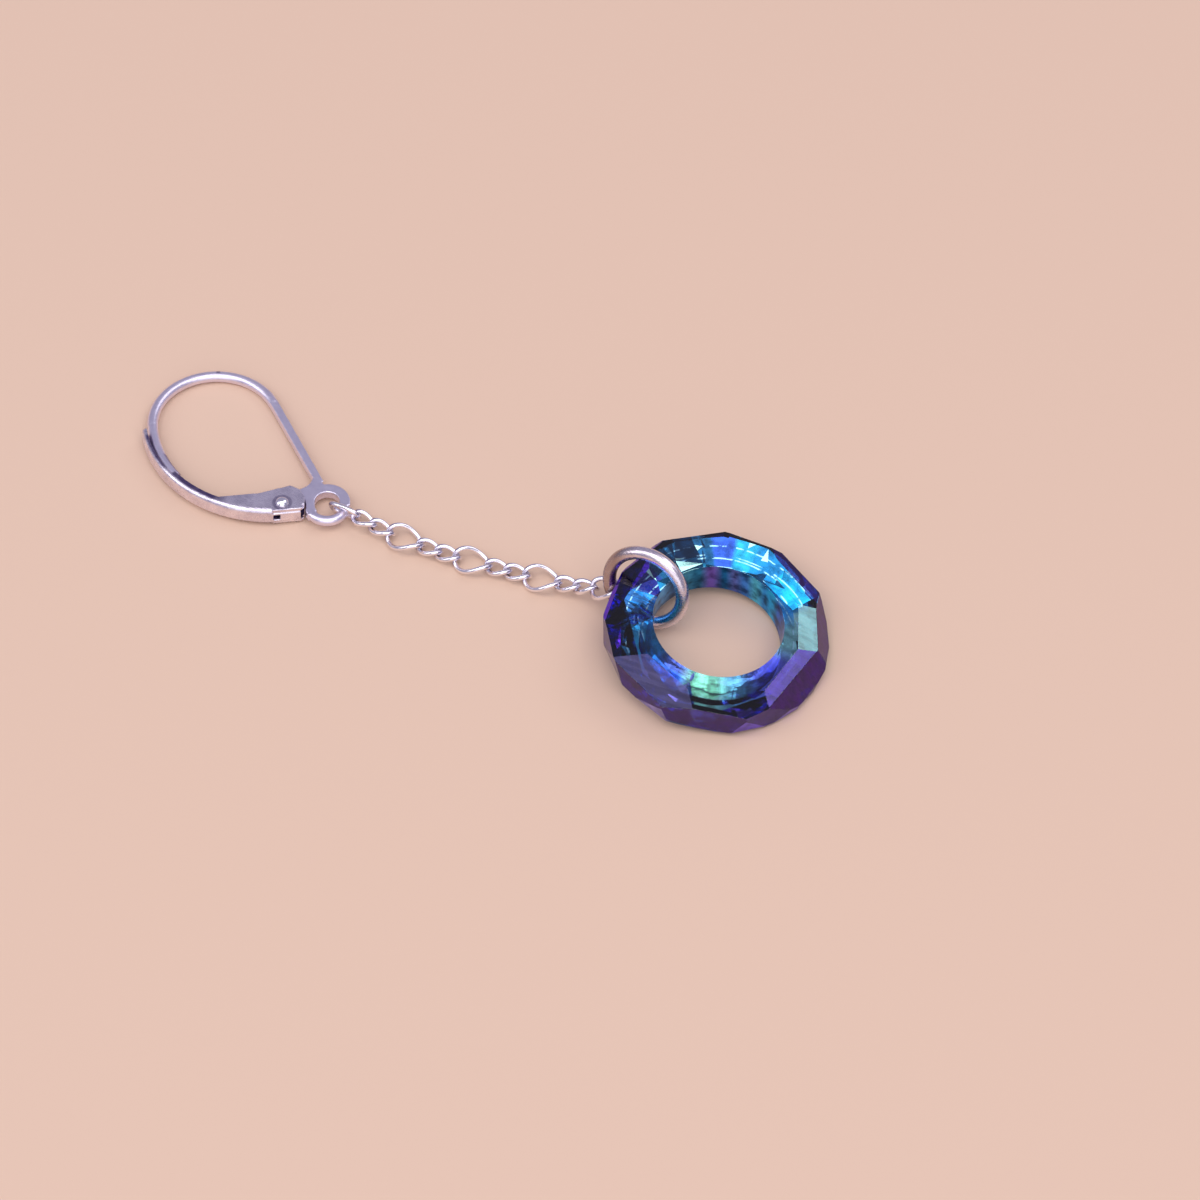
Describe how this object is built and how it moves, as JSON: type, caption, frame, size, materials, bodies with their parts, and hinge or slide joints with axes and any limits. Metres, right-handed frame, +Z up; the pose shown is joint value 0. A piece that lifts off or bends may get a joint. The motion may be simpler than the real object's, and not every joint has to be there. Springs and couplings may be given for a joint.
{
  "type": "hook earring",
  "caption": "Lying lever-back hook earring with a fine twisted-link chain and a faceted, coated crystal ring hung from a heavy jump ring.",
  "frame": {"origin": "middle of the earring's outline on the surface that it lies on", "axes": "+X along the earring from the ear hook to the crystal ring, +Y across it to the ear hook's straight strip, +Z up from the surface it lies on"},
  "size_m": [0.048, 0.015, 0.0058],
  "materials": {
    "silver": "polished silver, lightly tarnished",
    "chain_silver": "polished silver",
    "ring_silver": "worn silver with fine scratches",
    "crystal": "cut and polished, with a blue and violet coating"
  },
  "bodies": {
    "hook": {"ear_hook": "silver", "link_01": "chain_silver", "link_02": "chain_silver", "link_03": "chain_silver", "link_04": "chain_silver", "link_05": "chain_silver", "link_06": "chain_silver", "link_07": "chain_silver", "link_08": "chain_silver", "link_09": "chain_silver", "link_10": "chain_silver", "link_11": "chain_silver", "link_12": "chain_silver", "link_13": "chain_silver", "jump_ring": "ring_silver", "crystal_ring": "crystal"},
    "lever": {"lever": "silver", "rivet": "silver"}
  },
  "joints": [
    {"name": "lever_hinge", "type": "hinge", "parent": "hook", "child": "lever", "pos_m": [-0.01257, -0.00174, 0.00078], "axis": [-0.0048, 0.0434, 0.999], "range_deg": [0, 60]}
  ]
}
